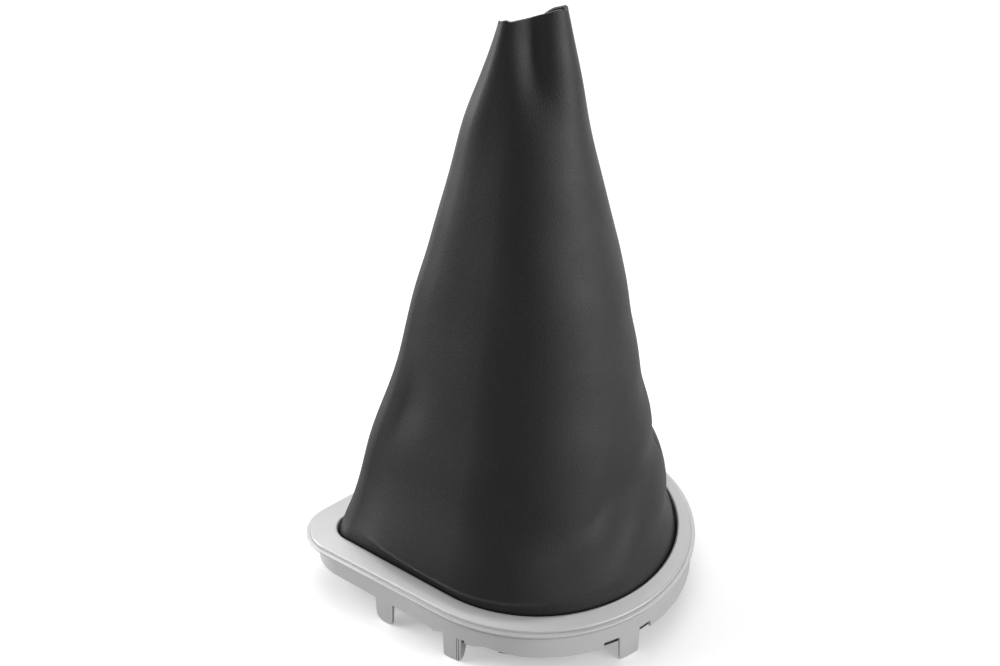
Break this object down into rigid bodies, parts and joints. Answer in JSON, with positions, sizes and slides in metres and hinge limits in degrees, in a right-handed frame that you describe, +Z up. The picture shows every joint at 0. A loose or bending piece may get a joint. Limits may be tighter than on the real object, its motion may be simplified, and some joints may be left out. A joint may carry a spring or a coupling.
{
  "type": "gear lever gaiter",
  "caption": "Tall black leatherette gear lever sleeve, sewn from panels, in a silver teardrop trim frame that clips into a console.",
  "frame": {"origin": "under the middle of the trim frame, level with the feet of its clips", "axes": "+Z up the sleeve, +X along the frame from its pointed tip to its round end, -Y towards the viewer of the picture"},
  "size_m": [0.15, 0.123, 0.2446],
  "materials": {
    "silver_trim": "satin silver paint on moulded plastic",
    "black_leatherette": "fine pebble grain with a soft sheen",
    "black_plastic": "plain moulded black"
  },
  "bodies": {
    "root": {"trim_frame": "silver_trim", "front_panel": "black_leatherette", "rear_panel": "black_leatherette", "hem_retaining_ring": "black_plastic"}
  },
  "joints": []
}
